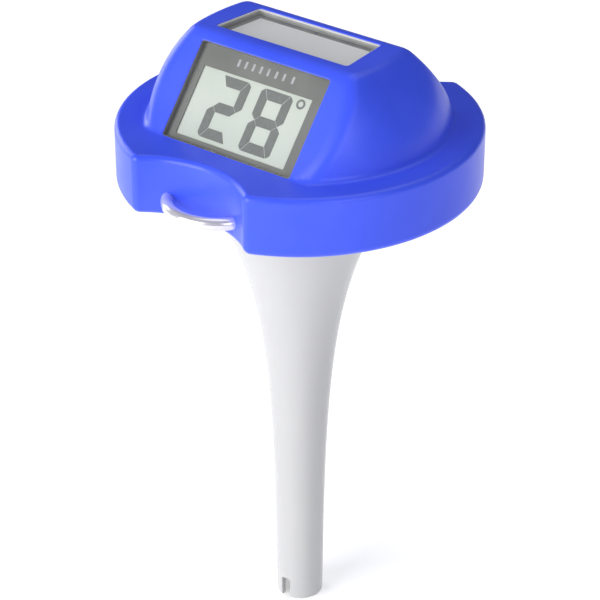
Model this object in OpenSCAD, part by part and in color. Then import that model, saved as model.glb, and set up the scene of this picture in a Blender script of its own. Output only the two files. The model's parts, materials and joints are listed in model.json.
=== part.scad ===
// Floating pool thermometer: a solar powered display in a round float, with a sensor in
// the end of a weighted stem. The origin is on the float's axis at the water line.
// +Z is up, and -Y is the side of the display.

/* [Float] */
// Diameter of the round float
float_d = 120; // [118:1:124]
// Height of the float's band
float_h = 20.5; // [20:0.5:22]
// How far the float's top stands above the water line
freeboard = 8; // [6:0.5:10]
// Rounding of the band's top edge
top_round = 2; // [1:0.5:2.5]
// Rounding of the band's bottom edge
bottom_round = 2.6; // [2:0.1:4]
// Radius of the scallops cut in the front and the back of the band
scallop_r = 34.5; // [34:0.1:36]
// Distance from the float's axis to a scallop's axis
scallop_y = 81.9; // [81:0.1:83]
// Thickness of the float's walls
wall = 2.2; // [2:0.1:2.4]

/* [Housing] */
// Height of the raised housing above the float's top
hump_h = 28.4; // [28:0.1:30]
// Radius of the arc that the housing's flank follows
dome_r = 53; // [52:0.5:56]
// Slope of the housing's front and back faces, in degrees
slope = 51.2; // [50:0.2:52]
// Distance from the float's axis to the foot of the front face
front_foot = 38.3; // [38:0.1:39]
// Distance from the float's axis to the back edge of the housing's top
back_edge = 13.8; // [12.5:0.1:14.5]
// Half the width of the housing's top
top_half_w = 35; // [34:0.1:36]

/* [Display] */
// Width of the display window
lcd_w = 51.8; // [50:0.1:52]
// Height of the display window along the slope
lcd_h = 33.2; // [33:0.1:34]
// Width of the clear part of the display
view_w = 43.8; // [42:0.1:44]
// Height of the clear part of the display
view_h = 23.5; // [22:0.1:24]
// Offset of the clear part from the middle of the window
view_x = -0.8; // [-1:0.1:0]

/* [Solar window] */
// Width of the solar window at its front edge
solar_front_w = 53.3; // [52:0.1:54]
// Width of the solar window at its back edge
solar_back_w = 49.5; // [48:0.1:51]
// Depth of the solar window from front to back
solar_depth = 20.2; // [20:0.1:21]

/* [Stem] */
// Length of the stem below the float
stem_l = 166; // [160:0.5:168]
// Radius that the stem narrows down to
stem_tip_r = 7.9; // [7.5:0.1:8.3]
// How much wider the stem is where it meets the float
stem_flare = 28.4; // [27:0.1:29]
// Length over which the flare fades
stem_fade = 34.5; // [33:0.5:36]
// Thickness of the stem's wall
stem_wall = 1.9; // [1.7:0.1:2]
// Width of the notches in the stem's end
notch_w = 3.7; // [3:0.1:4.5]
// Height of the notches in the stem's end
notch_h = 8; // [6:0.5:9]

/* [Tether bar] */
// Thickness of the tether bar
bar_d = 4.2; // [3.8:0.1:4.4]
// Radius of the bar's bow
bar_bow_r = 16.2; // [16:0.1:17]
// Height of the bar above the float's underside
bar_up = 6.3; // [6:0.1:8]

/* [Button] */
// Travel of the unit button
button_travel = 0.6; // [0.3:0.1:0.6]

/* [Hidden] */
$fn = 96;

far = 200;                        // longer than any part of the thermometer
gap = 0.05;                       // clearance of a screw or a pin in its hole
cover_shaft_r = 1.45;
stem_shaft_r = 1.25;
small_shaft_r = 0.9;
float_r = float_d / 2;
float_top = freeboard;
float_under = freeboard - float_h;
housing_top = float_top + hump_h;

// the housing's flank: an arc that meets the float's top a little inside the rim
flank_base_r = 49.5;
dome_drop = 8;
dome_z = float_top - dome_drop;
dome_x = flank_base_r - sqrt(dome_r * dome_r - dome_drop * dome_drop);
side_slope = 52.5;

// the cover is let into the underside and sealed against a ledge
ledge_in = 7.5;
cover_in = 4.5;
cover_t = 2.5;
seal_t = 1;
ledge_t = 2;
cover_top = float_under + cover_t;
ledge_z = cover_top + seal_t;
boss_top = cover_top + 7;
rib_t = 1.6;
cover_screw_r = 49;
cover_screw_angles = [22, 56, 124, 158, 202, 236, 304, 338];
cover_hole_r = 24;

// layers behind the display window, measured inwards from the sloped face
lip = 0.6;
window_t = 1.5;
mask_t = 0.3;
seat = lip + window_t + mask_t;
pad = seat + 1.5;
lcd_t = 2;
film_t = 0.2;
lcd_low = 0.2;                    // lower edge of the window above the slope's foot
lcd_back = seat + 0.2 + lcd_t;
frame_back = 6.5;
board_t = 1;
lcd_screw_x = 27.5;
lcd_screw_y = [5.5, 27.5];
lcd_glass_w = 46;
lcd_glass_h = 29;
lcd_glass_y = 1.9;
view_y = 2.5;

// layers under the solar window, measured down from the housing's top
solar_lip = 0.9;
solar_seat = solar_lip + window_t + mask_t;
solar_pad = solar_seat + 1.5;
solar_ledge = 2;
cell_t = 0.9;
bracket_t = 1.6;
bracket_top = housing_top - solar_pad - 0.3;
bracket_x = 28.5;

// main board, on four posts of the cover
board_z = float_under + 9.9;
main_t = 1.6;
board_x = [-30, 50];
board_half_y = 20;
post_x = [-25, 36];
post_y = 16;

// unit button
button_x = 43;
button_r = 4.6;
button_out = 1;
post_r = 2.2;
post_top = float_under + 5.4;
boot_top = float_under + 4.9;
boot_r = 8;
ear_y = 11;                       // distance of the retainer's screws from the button
plunger_r = 1.7;
switch_h = 3.5;
switch_w = 6.2;
slack = 0.3;                      // gap between a moving piece and its neighbours

// coin cell, and the ribbon between the two boards
cell_x = -8;
cell_r = 12.25;
ribbon_w = 12;
ribbon_t = 0.35;

// stem
stem_end = float_under - stem_l;
rim_in_r = 30.5;
rim_t = 2.5;
stem_screw_r = 27;
seal_r = 31.8;
seal_w = 1.6;
seal_h = 1.2;
sleeve_r = 2.5;
sleeve_top = stem_end + 28;
sleeve_low = stem_end + 5.5;
plug_low = stem_end + 16;
plug_h = 9;
ballast_low = plug_low + plug_h + 0.5;
ballast_h = 74;
lead_r = 1.1;
lead_bend = 5;
lead_z = float_under + 7.7;
steps = 28;

bar_z = float_under + bar_up;
bar_half = 13.4;
wall_y = -scallop_y + sqrt(scallop_r * scallop_r - bar_half * bar_half);
bar_y = wall_y + sqrt(bar_bow_r * bar_bow_r - bar_half * bar_half);
socket_depth = 5.5;
socket_x = bar_half + 1.2;
socket_w = 9;

// radius of the stem at a height z below the float
function stem_radius(z) = stem_tip_r + stem_flare * exp((z - float_under) / stem_fade);
// points down the stem's wall from z0 to z1, moved inwards by t
function stem_line(z0, z1, t) = [for (i = [0 : steps]) let (z = z0 + (z1 - z0) * i / steps)
    [stem_radius(z) - t, z]];

// places its children on the sloped face: x across, y up the slope, z out of the face
module on_front() {
    translate([0, -front_foot, float_top]) rotate([slope, 0, 0]) children();
}

// a block on the sloped face, centred across, from y up by h, from deep inwards to out
module front_block(w, y, h, deep, out) {
    on_front() translate([-w / 2, y, -deep]) cube([w, h, deep + out]);
}

// everything below a plane that slopes down from the line x = 0, y = edge, z = top
module below_slope(edge, angle, top) {
    translate([0, edge, top]) rotate([-angle, 0, 0]) translate([-far, -far, -2 * far])
        cube([2 * far, 2 * far, 2 * far]);
}

// the two scallops, grown by a margin
module scallops(margin) {
    for (side = [-1, 1]) translate([0, side * scallop_y, -far / 2])
        cylinder(r = scallop_r + margin, h = far);
}

// a slice of the float's plan, moved inwards, from z0 to z1
module plan(inset, z0, z1) {
    difference() {
        translate([0, 0, z0]) cylinder(r = float_r - inset, h = z1 - z0);
        scallops(inset);
    }
}

// solid of the float's band, with both edges rounded
module band() {
    difference() {
        translate([0, 0, float_under]) rotate_extrude() {
            square([float_r - bottom_round, float_h]);
            square([float_r - top_round, float_h - bottom_round]);
            translate([0, bottom_round]) square([float_r, float_h - bottom_round - top_round]);
            translate([float_r - bottom_round, bottom_round]) circle(bottom_round);
            translate([float_r - top_round, float_h - top_round]) circle(top_round);
        }
        scallops(0);
    }
}

// solid of the housing, moved inwards by inset
module housing(inset) {
    low = float_top - 2 * wall;
    intersection() {
        rotate_extrude() intersection() {
            translate([dome_x, dome_z]) circle(r = dome_r - inset);
            translate([0, low]) square([float_r, housing_top - inset - low]);
        }
        on_front() translate([-far, -far, -2 * far - inset]) cube([2 * far, 2 * far, 2 * far]);
        below_slope(back_edge - inset * tan(slope / 2), slope, housing_top - inset);
        for (turn = [[0, 0, -90], [0, 0, 90]]) rotate(turn)
            below_slope(top_half_w - inset * tan(side_slope / 2), side_slope, housing_top - inset);
    }
}

// the solar window's plan, moved inwards by inset, from z0 to z1
module solar_block(inset, z0, z1) {
    y = solar_depth / 2 - inset;
    taper = (solar_front_w - solar_back_w) / 2 / solar_depth * inset;
    front = solar_front_w / 2 - inset - taper;
    back = solar_back_w / 2 - inset + taper;
    translate([0, 0, z0]) linear_extrude(z1 - z0)
        polygon([[-front, -y], [front, -y], [back, y], [-back, y]]);
}

// places its children at each cover screw
module at_cover_screws() {
    for (a = cover_screw_angles) rotate([0, 0, a]) translate([cover_screw_r, 0, 0]) children();
}

// places its children at each display screw, on the sloped face
module at_display_screws() {
    on_front() for (x = [-lcd_screw_x, lcd_screw_x], y = lcd_screw_y) translate([x, y, 0])
        children();
}

// places its children at each post of the main board
module at_posts() {
    for (x = post_x, y = [-post_y, post_y]) translate([x, y, 0]) children();
}

// places its children at each stem screw
module at_stem_screws() {
    for (a = [45 : 90 : 315]) rotate([0, 0, a]) translate([stem_screw_r, 0, 0]) children();
}

// a pan head screw with a cross recess: head below z = 0, shaft above
module screw(r, head_r, head_h, length) {
    difference() {
        union() {
            translate([0, 0, -head_h]) cylinder(r = head_r, h = head_h);
            cylinder(r = r, h = length);
        }
        for (turn = [0, 90]) rotate([0, 0, turn])
            translate([-head_r * 0.6, -head_r * 0.13, -head_h - 1])
                cube([head_r * 1.2, head_r * 0.26, 1 + head_h * 0.55]);
    }
}

// the bar's bow as a torus, grown by a margin
module bow(margin) {
    translate([0, bar_y, bar_z]) rotate_extrude() translate([bar_bow_r, 0])
        circle(r = bar_d / 2 + margin);
}

module shell_inside() {
    plan(wall, ledge_z + ledge_t, float_top - wall);
    plan(ledge_in, ledge_z - 1, ledge_z + ledge_t + 1);
    plan(cover_in - 0.2, float_under - 1, ledge_z);
    housing(wall);
}

module shell_inner_features() {
    intersection() {
        housing(wall / 4);
        union() {
            front_block(lcd_w + 6, -2, lcd_h + 5, pad, 0);
            translate([0, 0, housing_top]) cube([62, 27, 2 * solar_pad], center = true);
        }
    }
    at_display_screws() translate([0, 0, -frame_back]) cylinder(r = 2.2, h = frame_back - 1);
    for (side = [-1, 1]) translate([side * bracket_x, 0, bracket_top])
        cylinder(r = 2.4, h = housing_top - 1 - bracket_top);
    at_cover_screws() {
        translate([0, 0, cover_top]) cylinder(r = 3.4, h = boss_top - cover_top);
        translate([0, -rib_t / 2, ledge_z + rib_t / 2])
            cube([float_r - cover_screw_r - 1, rib_t, boss_top - ledge_z - rib_t]);
    }
    for (side = [-1, 1]) translate([side * socket_x - socket_w / 2, wall_y - 1, ledge_z + 0.3])
        cube([socket_w, socket_depth + 2.5, 7]);
}

module upper_shell() {
    color("royalblue") difference() {
        union() {
            difference() {
                union() {
                    band();
                    housing(0);
                }
                shell_inside();
            }
            difference() {
                shell_inner_features();
                scallops(wall / 2);
            }
        }
        front_block(lcd_w, lcd_low, lcd_h, seat, 5);
        front_block(lcd_glass_w + 1.6, lcd_glass_y - 0.4, lcd_glass_h + 0.8, pad + 5, 5);
        solar_block(0, housing_top - solar_seat, housing_top + 1);
        solar_block(solar_ledge, housing_top - 3 * solar_pad, housing_top + 1);
        at_cover_screws() translate([0, 0, cover_top - 1]) cylinder(r = cover_shaft_r + gap, h = 6.5);
        at_display_screws() translate([0, 0, -frame_back - 1]) cylinder(r = small_shaft_r + gap, h = 5);
        for (side = [-1, 1]) translate([side * bracket_x, 0, bracket_top - 1])
            cylinder(r = small_shaft_r + gap, h = 4.5);
        bow(gap);
    }
}

module lower_cover() {
    color("mediumblue") {
        difference() {
            union() {
                plan(cover_in, float_under, cover_top);
                at_posts() translate([0, 0, cover_top]) cylinder(r = 3.2, h = board_z - cover_top);
            }
            translate([0, 0, float_under - 1]) cylinder(r = cover_hole_r, h = cover_t + 2);
            at_cover_screws() translate([0, 0, float_under - 1]) {
                cylinder(r = 3, h = 1 + 1.6);
                cylinder(r = cover_shaft_r + gap, h = cover_t + 2);
            }
            at_stem_screws() translate([0, 0, float_under - 1])
                cylinder(r = stem_shaft_r + gap, h = cover_t + 2);
            at_posts() translate([0, 0, board_z - 6]) cylinder(r = 1 + gap, h = 7);
            translate([button_x, 0, float_under - 1]) cylinder(r = button_r + slack, h = cover_t + 2);
            for (side = [-1, 1]) translate([button_x, side * ear_y, cover_top - 2])
                cylinder(r = small_shaft_r + gap, h = 3);
        }
    }
}

module shell_seal() {
    color("dimgray") difference() {
        plan(cover_in + 0.1, cover_top, ledge_z);
        plan(ledge_in - 0.2, cover_top - 1, ledge_z + 1);
    }
}

module cover_screws() {
    color("silver") at_cover_screws() translate([0, 0, float_under + 1.6])
        screw(cover_shaft_r, 2.8, 1.5, 6);
}

module tether_bar() {
    color("whitesmoke") intersection() {
        bow(0);
        translate([-far / 2, wall_y + socket_depth - far, -far / 2]) cube([far, far, far]);
    }
}

module lcd_window() {
    color([0.85, 0.92, 0.9, 0.35])
        front_block(lcd_w - 0.3, lcd_low + 0.15, lcd_h - 0.3, lip + window_t, -lip);
}

module display_bezel() {
    color("gray") difference() {
        front_block(lcd_w - 0.3, lcd_low + 0.15, lcd_h - 0.3, seat, -lip - window_t);
        translate([view_x, 0, 0]) front_block(view_w, view_y, view_h, seat + 1, 0);
    }
}

module lcd_panel() {
    color("gainsboro")
        front_block(lcd_glass_w, lcd_glass_y, lcd_glass_h, lcd_back - film_t, -seat - 0.2);
}

module lcd_reflector() {
    color("lightgray")
        front_block(lcd_glass_w, lcd_glass_y + 3, lcd_glass_h - 6, lcd_back, film_t - lcd_back);
}

module zebra_strips() {
    color("darkslategray") for (y = [lcd_glass_y + 0.4, lcd_glass_y + lcd_glass_h - 2.4])
        front_block(lcd_glass_w - 4, y, 2, frame_back, film_t - lcd_back);
}

module display_frame() {
    color("white") difference() {
        front_block(lcd_glass_w + 4, lcd_glass_y - 2.6, lcd_glass_h + 5.2, frame_back, -pad - 0.1);
        front_block(lcd_glass_w + 0.6, lcd_glass_y - 0.3, lcd_glass_h + 0.6, frame_back + 1, 0);
    }
}

module display_board() {
    color("darkgreen") difference() {
        front_block(60, -1, 35, frame_back + board_t, -frame_back);
        at_display_screws() translate([0, 0, -frame_back - 2]) cylinder(r = 1.1, h = 3);
    }
}

module display_screws() {
    color("silver") at_display_screws() translate([0, 0, -frame_back - board_t])
        screw(small_shaft_r, 2 * small_shaft_r, 1.2, 4);
}

// a point on the back of the display board as [y, z]: up the slope by up, out of it by out
function board_back(up, out) = let (deep = frame_back + board_t + out)
    [up * cos(slope) + deep * sin(slope) - front_foot,
        float_top + up * sin(slope) - deep * cos(slope)];

// the ribbon runs down the back of the display board, then back to the main board
module ribbon_cable() {
    top = board_z + main_t;
    color("khaki") translate([-ribbon_w / 2, 0, 0]) rotate([90, 0, 90]) linear_extrude(ribbon_w)
        polygon([board_back(9, 0), board_back(1, 0), [-25, top], [2 - board_half_y, top],
            [2 - board_half_y, top + ribbon_t], [ribbon_t - 25, top + ribbon_t],
            board_back(1 + ribbon_t, ribbon_t), board_back(9, ribbon_t)]);
}

module solar_window() {
    color([0.85, 0.9, 0.95, 0.35])
        solar_block(0.15, housing_top - solar_seat + mask_t, housing_top - solar_lip);
}

module solar_gasket() {
    color("dimgray") difference() {
        solar_block(0.15, housing_top - solar_seat, housing_top - solar_seat + mask_t);
        solar_block(solar_ledge + 0.1, housing_top - 2 * solar_pad, housing_top);
    }
}

module solar_panel() {
    color("lightsteelblue")
        solar_block(solar_ledge + 0.3, bracket_top + 1.2, bracket_top + 1.2 + cell_t);
}

module solar_bracket() {
    color("white") difference() {
        union() {
            translate([0, 0, bracket_top - bracket_t / 2])
                cube([2 * bracket_x + 6, 12, bracket_t], center = true);
            solar_block(solar_ledge + 1.5, bracket_top - bracket_t, bracket_top + 1.2);
        }
        solar_block(solar_ledge + 4, bracket_top - 2 * bracket_t, bracket_top + 3);
        for (side = [-1, 1]) translate([side * bracket_x, 0, bracket_top - 3])
            cylinder(r = 1.1, h = 5);
    }
}

module bracket_screws() {
    color("silver") for (side = [-1, 1])
        translate([side * bracket_x, 0, bracket_top - bracket_t])
            screw(small_shaft_r, 2 * small_shaft_r, 1.2, 4.5);
}

module solar_lead() {
    low = board_z + main_t;
    color("firebrick") for (y = [-1.5, 1.5]) translate([16, y, low])
        cylinder(r = 0.6, h = bracket_top + 1.2 - low, $fn = 32);
}

module main_board() {
    color("darkgreen") difference() {
        translate([board_x[0], -board_half_y, board_z])
            cube([board_x[1] - board_x[0], 2 * board_half_y, main_t]);
        at_posts() translate([0, 0, board_z - 1]) cylinder(r = 1.3, h = main_t + 2);
    }
}

module board_screws() {
    color("silver") at_posts() translate([0, 0, board_z + main_t]) mirror([0, 0, 1])
        screw(1, 2.2, 1.4, 6.5);
}

// controller, capacitor, coil, crystal and two rows of small parts
module board_components() {
    top = board_z + main_t;
    color("dimgray") {
        translate([20, 4, top]) cube([9, 9, 1.2]);
        translate([42, -10, top]) cylinder(r = 3.15, h = 7);
        translate([38, 3, top]) cube([5, 5, 2.4]);
        translate([20, -12, top]) cube([8, 3.2, 2]);
        for (i = [0 : 4]) {
            translate([17 + 3.2 * i, 15.5, top]) cube([2, 1.2, 0.6]);
            translate([21 + 3.2 * i, -7, top]) cube([2, 1.2, 0.6]);
        }
    }
}

module battery_holder() {
    top = board_z + main_t;
    color("black") difference() {
        union() {
            translate([cell_x, 0, top]) cylinder(r = cell_r + 1.6, h = 4);
            translate([cell_x - 5, -16, top]) cube([10, 32, 2]);
        }
        translate([cell_x, 0, top + 0.8]) cylinder(r = cell_r + 0.2, h = 5);
        translate([cell_x - 20, -5, top + 0.8]) cube([12, 10, 5]);
    }
}

module battery_cell() {
    top = board_z + main_t;
    color("silver") translate([cell_x, 0, top + 0.8]) {
        cylinder(r = cell_r, h = 3.2);
        cylinder(r = cell_r - 2, h = 5);
    }
}

module lead_connector() {
    color("ivory") translate([lead_bend, -3, board_z - 4]) cube([8, 6, 4]);
}

// out of the connector, round one bend and down the middle of the stem
module sensor_lead() {
    low = sleeve_low + 4;
    bend_z = lead_z - lead_bend;
    color("black") {
        translate([0, 0, low]) cylinder(r = lead_r, h = bend_z - low, $fn = 48);
        intersection() {
            translate([lead_bend, 0, bend_z]) rotate([90, 0, 0]) rotate_extrude()
                translate([lead_bend, 0]) circle(r = lead_r, $fn = 48);
            translate([-lead_r, -lead_bend, bend_z])
                cube([lead_bend + lead_r, 2 * lead_bend, 2 * lead_bend]);
        }
    }
}

module thermistor() {
    color("saddlebrown") {
        translate([0, 0, sleeve_low + 2.2]) sphere(r = 1.2, $fn = 48);
        translate([0, 0, sleeve_low + 2.2]) cylinder(r = 0.9, h = 1.8, $fn = 48);
    }
}

module probe_sleeve() {
    bore = sleeve_r - 0.4;
    color("silver") difference() {
        union() {
            translate([0, 0, sleeve_low + sleeve_r])
                cylinder(r = sleeve_r, h = sleeve_top - sleeve_low - sleeve_r);
            translate([0, 0, sleeve_low + sleeve_r]) sphere(r = sleeve_r);
        }
        translate([0, 0, sleeve_low + sleeve_r]) cylinder(r = bore, h = far);
        translate([0, 0, sleeve_low + sleeve_r]) sphere(r = bore);
    }
}

// a turned piece that fills the stem between two heights, leaving a hole of radius bore
module stem_filler(z0, z1, bore, clear) {
    rotate_extrude() polygon(concat([[bore, z1]], stem_line(z1, z0, stem_wall + clear),
        [[bore, z0]]));
}

module probe_plug() {
    color("dimgray") stem_filler(plug_low, plug_low + plug_h, sleeve_r, 0.02);
}

module ballast_weight() {
    color("slategray") stem_filler(ballast_low, ballast_low + ballast_h, sleeve_r + 0.3, 0.1);
}

module stem() {
    inner_top = float_under - rim_t;
    round_r = 0.7;
    color("white") difference() {
        union() {
            rotate_extrude() polygon(concat([[rim_in_r, float_under]],
                stem_line(float_under, stem_end + round_r, 0),
                [[stem_radius(stem_end) - round_r, stem_end]],
                stem_line(stem_end, inner_top, stem_wall)));
            intersection() {
                at_stem_screws() translate([0, 0, float_under - 9]) cylinder(r = 3.2, h = 9);
                rotate_extrude() polygon(concat([[0, float_under]],
                    stem_line(float_under, float_under - 10, stem_wall / 2),
                    [[0, float_under - 10]]));
            }
        }
        translate([0, 0, float_under - seal_h]) difference() {
            cylinder(r = seal_r + seal_w + 0.1, h = seal_h + 1);
            translate([0, 0, -1]) cylinder(r = seal_r - 0.1, h = seal_h + 3);
        }
        at_stem_screws() translate([0, 0, float_under - 7]) cylinder(r = stem_shaft_r + gap, h = 8);
        translate([-notch_w / 2, -far / 2, stem_end - 1]) cube([notch_w, far, notch_h]);
        translate([-notch_w / 2 + 1, -far / 2, stem_end - 1]) cube([notch_w - 2, far, notch_h + 1]);
        for (side = [-1, 1]) translate([side * (notch_w / 2 - 1), far / 2, stem_end + notch_h - 1])
            rotate([90, 0, 0]) cylinder(r = 1, h = far, $fn = 48);
    }
}

module stem_seal() {
    color("dimgray") translate([0, 0, float_under - seal_h]) difference() {
        cylinder(r = seal_r + seal_w, h = seal_h);
        translate([0, 0, -1]) cylinder(r = seal_r, h = seal_h + 2);
    }
}

module stem_screws() {
    color("silver") at_stem_screws() translate([0, 0, cover_top]) mirror([0, 0, 1])
        screw(stem_shaft_r, 2 * stem_shaft_r, 1.6, 8);
}

module unit_button() {
    color("darkgray") translate([button_x, 0, 0]) {
        translate([0, 0, float_under - button_out]) cylinder(r = button_r, h = button_out + 2);
        translate([0, 0, float_under]) cylinder(r = post_r, h = post_top - float_under);
    }
}

// flange under the retainer, and a cone up to the button's post
module button_boot() {
    color("dimgray") translate([button_x, 0, 0]) rotate_extrude() polygon([
        [boot_r, cover_top], [boot_r, ledge_z], [5.4, ledge_z], [3, boot_top],
        [post_r, boot_top], [post_r, boot_top - 0.8], [2.8, boot_top - 0.8], [5, cover_top]]);
}

module boot_retainer() {
    color("white") translate([button_x, 0, ledge_z]) difference() {
        union() {
            cylinder(r = boot_r + 0.8, h = 1.4);
            for (side = [-1, 1]) translate([0, side * ear_y, -seal_t]) {
                cylinder(r = 2.4, h = seal_t + 1.4);
                translate([-2.4, side > 0 ? -2.8 : 0, seal_t]) cube([4.8, 2.8, 1.4]);
            }
        }
        translate([0, 0, -1]) cylinder(r = 5.8, h = 4);
        for (side = [-1, 1]) translate([0, side * ear_y, -2]) cylinder(r = small_shaft_r + gap, h = 5);
    }
}

module retainer_screws() {
    color("silver") for (side = [-1, 1]) translate([button_x, side * ear_y, ledge_z + 1.4])
        mirror([0, 0, 1]) screw(small_shaft_r, 2 * small_shaft_r, 1.2, 4);
}

module tact_switch() {
    low = board_z - switch_h;
    color("black") translate([button_x, 0, 0]) difference() {
        translate([-switch_w / 2, -switch_w / 2, low]) cube([switch_w, switch_w, switch_h]);
        translate([0, 0, low - 1]) cylinder(r = plunger_r + slack, h = 3);
    }
}

module switch_plunger() {
    color("ivory") translate([button_x, 0, post_top]) cylinder(r = plunger_r, h = 2);
}

upper_shell();
lower_cover();
shell_seal();
cover_screws();
tether_bar();
lcd_window();
display_bezel();
lcd_panel();
lcd_reflector();
zebra_strips();
display_frame();
display_board();
display_screws();
ribbon_cable();
solar_window();
solar_gasket();
solar_panel();
solar_bracket();
bracket_screws();
solar_lead();
main_board();
board_screws();
board_components();
battery_holder();
battery_cell();
lead_connector();
sensor_lead();
thermistor();
probe_sleeve();
probe_plug();
ballast_weight();
stem();
stem_seal();
stem_screws();
unit_button();
button_boot();
boot_retainer();
retainer_screws();
tact_switch();
switch_plunger();
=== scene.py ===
"""Floating pool thermometer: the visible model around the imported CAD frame.
"""

import json
from math import cos, pi, radians, sin, sqrt, tan

import bpy
import numpy as np
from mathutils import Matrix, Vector
from mathutils.geometry import delaunay_2d_cdt


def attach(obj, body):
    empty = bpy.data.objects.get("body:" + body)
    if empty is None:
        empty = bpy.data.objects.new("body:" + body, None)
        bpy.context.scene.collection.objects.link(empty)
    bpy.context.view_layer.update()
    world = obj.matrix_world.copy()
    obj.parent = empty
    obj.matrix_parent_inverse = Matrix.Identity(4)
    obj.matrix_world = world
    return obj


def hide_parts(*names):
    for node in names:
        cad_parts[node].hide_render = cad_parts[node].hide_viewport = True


MM = 0.001

scene = bpy.context.scene
cam_data = bpy.data.cameras.new("camera")
cam_data.lens = 138.83
cam_data.sensor_width = 36
cam_data.clip_start = 0.05
cam_data.clip_end = 50
cam = bpy.data.objects.new("camera", cam_data)
scene.collection.objects.link(cam)
cam.location = (0.42537, -0.53341, 0.32091)
cam.rotation_euler = (
    (Vector((0, 0, -0.05984)) - cam.location).to_track_quat("-Z", "Y").to_euler()
)
scene.camera = cam

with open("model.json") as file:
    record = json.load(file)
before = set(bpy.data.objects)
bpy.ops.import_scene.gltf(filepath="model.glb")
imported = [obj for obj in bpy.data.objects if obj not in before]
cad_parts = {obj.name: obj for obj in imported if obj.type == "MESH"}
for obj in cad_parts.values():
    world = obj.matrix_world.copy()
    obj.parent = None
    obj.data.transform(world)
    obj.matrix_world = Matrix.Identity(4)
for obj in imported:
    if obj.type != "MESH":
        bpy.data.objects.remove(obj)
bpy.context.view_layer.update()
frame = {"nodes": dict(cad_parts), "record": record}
nodes = frame["nodes"]

# ---------------------------------------------------------------- sizes, as in part.scad
FLOAT_R = 60.0
FLOAT_TOP = 8.0
FLOAT_UNDER = -12.5
TOP_ROUND = 2.0
BOTTOM_ROUND = 2.6
SCALLOP_R = 34.5
SCALLOP_Y = 81.9
HORN_ROUND = 3.0  # rounding of the corners between scallop and rim, seen from above
WALL = 2.2
HUMP_H = 28.4
HOUSING_TOP = FLOAT_TOP + HUMP_H
SLOPE = radians(51.2)
FRONT_FOOT = 38.3
BACK_EDGE = 13.8
TOP_HALF_W = 35.0
SIDE_SLOPE = radians(52.5)
DOME_R = 53.0
DOME_DROP = 8.0
DOME_Z = FLOAT_TOP - DOME_DROP
DOME_X = 49.5 - sqrt(DOME_R**2 - DOME_DROP**2)
COVER_IN = 4.3
LEDGE_IN = 7.5
LEDGE_Z = -7.0
SEAL_TOP = -9.0
STEM_END = -178.5
STEM_TIP_R = 7.9
STEM_FLARE = 28.4
STEM_FADE = 34.5
STEM_WALL = 1.9

# ---------------------------------------------------------------- materials


def new_material(name):
    m = bpy.data.materials.new(name)
    m.use_nodes = True
    nt = m.node_tree
    return m, nt, nt.nodes["Principled BSDF"]


def node(nt, kind, **values):
    n = nt.nodes.new(kind)
    for k, v in values.items():
        setattr(n, k, v)
    return n


def noise(nt, scale, detail=4.0, roughness=0.55, stretch=(1, 1, 1)):
    """Noise over object coordinates; scale is in features per metre."""
    coord = node(nt, "ShaderNodeTexCoord")
    mapping = node(nt, "ShaderNodeMapping")
    mapping.inputs["Scale"].default_value = stretch
    n = node(nt, "ShaderNodeTexNoise")
    n.inputs["Scale"].default_value = scale
    n.inputs["Detail"].default_value = detail
    n.inputs["Roughness"].default_value = roughness
    nt.links.new(coord.outputs["Object"], mapping.inputs["Vector"])
    nt.links.new(mapping.outputs["Vector"], n.inputs["Vector"])
    return n.outputs["Fac"]


def ramp(nt, source, stops):
    r = node(nt, "ShaderNodeValToRGB")
    els = r.color_ramp.elements
    while len(els) < len(stops):
        els.new(0.5)
    for e, (pos, col) in zip(els, stops):
        e.position = pos
        e.color = (*col, 1)
    nt.links.new(source, r.inputs["Fac"])
    return r.outputs["Color"]


def spread(nt, source, low, high, at=(0.3, 0.7)):
    r = node(nt, "ShaderNodeMapRange")
    r.inputs["From Min"].default_value = at[0]
    r.inputs["From Max"].default_value = at[1]
    r.inputs["To Min"].default_value = low
    r.inputs["To Max"].default_value = high
    nt.links.new(source, r.inputs["Value"])
    return r.outputs["Result"]


def bump(nt, bsdf, source, distance, strength=1.0):
    b = node(nt, "ShaderNodeBump")
    b.inputs["Strength"].default_value = strength
    b.inputs["Distance"].default_value = distance
    nt.links.new(source, b.inputs["Height"])
    nt.links.new(b.outputs["Normal"], bsdf.inputs["Normal"])


def finish_for(
    name,
    dark,
    light,
    rough,
    tone_scale=60,
    grain_scale=2600,
    grain=0.000004,
    metallic=0.0,
    stretch=(1, 1, 1),
    coat=0.0,
    ior=1.5,
    subsurface=0.0,
):
    """A moulded, painted or metal surface: slow tone changes, patchy gloss and fine grain."""
    m, nt, b = new_material(name)
    tone = noise(nt, tone_scale, 3.0, stretch=stretch)
    nt.links.new(ramp(nt, tone, [(0.3, dark), (0.7, light)]), b.inputs["Base Color"])
    patch = noise(nt, tone_scale * 2.3, 5.0, stretch=stretch)
    nt.links.new(spread(nt, patch, *rough), b.inputs["Roughness"])
    bump(nt, b, noise(nt, grain_scale, 2.0, stretch=stretch), grain)
    b.inputs["Metallic"].default_value = metallic
    b.inputs["IOR"].default_value = ior
    if coat:
        b.inputs["Coat Weight"].default_value = coat
        b.inputs["Coat Roughness"].default_value = 0.08
    if subsurface:
        b.inputs["Subsurface Weight"].default_value = subsurface
        b.inputs["Subsurface Scale"].default_value = 0.002
        b.inputs["Subsurface Radius"].default_value = (1, 1, 1)
    return m


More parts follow.
